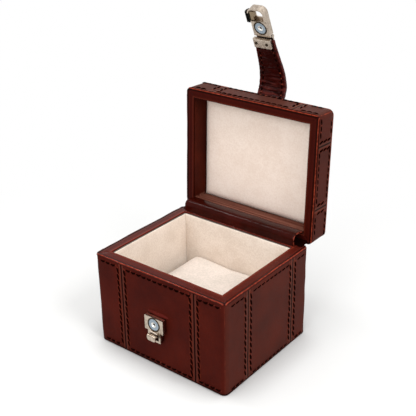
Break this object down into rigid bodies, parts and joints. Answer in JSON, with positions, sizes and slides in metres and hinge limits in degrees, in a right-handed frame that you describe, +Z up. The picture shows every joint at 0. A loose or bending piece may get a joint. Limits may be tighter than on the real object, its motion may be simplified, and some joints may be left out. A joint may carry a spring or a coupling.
{
  "type": "pocket watch display box",
  "caption": "Hinged leather display box for a pocket watch, with a padded lid, a raised suede cushion, and a strap with a metal hasp that closes on a front lock.",
  "frame": {"origin": "centre of the face that the box stands on", "axes": "+Z up, +Y towards the hinge at the back, +X to the right of someone who faces the lock on the -Y side"},
  "size_m": [0.11, 0.1375, 0.2214],
  "materials": {
    "oxblood_leather": "polished",
    "rim_leather": "satin",
    "dark_red_leather": "satin",
    "strap_leather": "satin",
    "grey_board": "matte",
    "cream_suede": "napped",
    "cushion_suede": "napped",
    "satin_nickel": "satin",
    "dark_nickel": "satin",
    "magnet_plating": "bright",
    "aged_brass": "aged"
  },
  "bodies": {
    "base": {"base_back_board": "grey_board", "base_back_left_wrap": "oxblood_leather", "base_back_lining": "cream_suede", "base_back_panel": "oxblood_leather", "base_back_right_wrap": "oxblood_leather", "base_bottom_leather": "oxblood_leather", "base_floor_board": "grey_board", "base_floor_lining": "cream_suede", "base_front_board": "grey_board", "base_front_left_wrap": "oxblood_leather", "base_front_lining": "cream_suede", "base_front_panel": "oxblood_leather", "base_front_right_wrap": "oxblood_leather", "base_left_board": "grey_board", "base_left_lining": "cream_suede", "base_left_panel": "oxblood_leather", "base_right_board": "grey_board", "base_right_lining": "cream_suede", "base_right_panel": "oxblood_leather", "base_rim_leather": "rim_leather", "cushion_plinth": "cushion_suede", "hinge_base_leaf": "aged_brass", "hinge_base_screws": "aged_brass", "hinge_pin": "aged_brass", "hinge_roll": "dark_red_leather", "lock_block": "strap_leather", "lock_magnet": "magnet_plating", "lock_plate": "satin_nickel", "lock_rivet": "satin_nickel", "watch_cushion": "cushion_suede"},
    "lid": {"hinge_lid_leaf": "aged_brass", "hinge_lid_screws": "aged_brass", "lid_back_board": "grey_board", "lid_back_left_wrap": "oxblood_leather", "lid_back_panel": "oxblood_leather", "lid_back_right_wrap": "oxblood_leather", "lid_front_board": "grey_board", "lid_front_left_wrap": "oxblood_leather", "lid_front_panel": "oxblood_leather", "lid_front_right_wrap": "oxblood_leather", "lid_inner_band": "dark_red_leather", "lid_left_board": "grey_board", "lid_left_panel": "oxblood_leather", "lid_pad": "cream_suede", "lid_right_board": "grey_board", "lid_right_panel": "oxblood_leather", "lid_rim_leather": "rim_leather", "lid_top_board": "grey_board", "lid_top_leather": "oxblood_leather", "strap_tail": "strap_leather"},
    "strap": {"clamp_back_plate": "satin_nickel", "clamp_plate": "satin_nickel", "clamp_rivets": "satin_nickel", "hasp_pin": "satin_nickel", "strap": "strap_leather"},
    "hasp": {"hasp_body": "satin_nickel", "hasp_magnet": "magnet_plating", "hasp_rivet": "satin_nickel"},
    "catch": {"catch_slider": "dark_nickel"}
  },
  "joints": [
    {"name": "lid_hinge", "type": "hinge", "parent": "base", "child": "lid", "pos_m": [0, 0.0464, 0.066], "axis": [1, 0, 0], "range_deg": [0, 92.2], "deforming": ["hinge_roll"]},
    {"name": "strap_fold", "type": "hinge", "parent": "lid", "child": "strap", "pos_m": [0, 0.07493, 0.14827], "axis": [1, 0, 0], "range_deg": [0, 64], "stiffness_Nm_per_rad": 0.05, "deforming": ["strap"]},
    {"name": "hasp_hinge", "type": "hinge", "parent": "strap", "child": "hasp", "pos_m": [0, 0.07088, 0.20031], "axis": [1, 0, 0], "range_deg": [-35, 0]},
    {"name": "catch_slide", "type": "slide", "parent": "hasp", "child": "catch", "axis": [-1, 0, 0], "range_m": [0, 0.0016], "stiffness_N_per_m": 20}
  ]
}
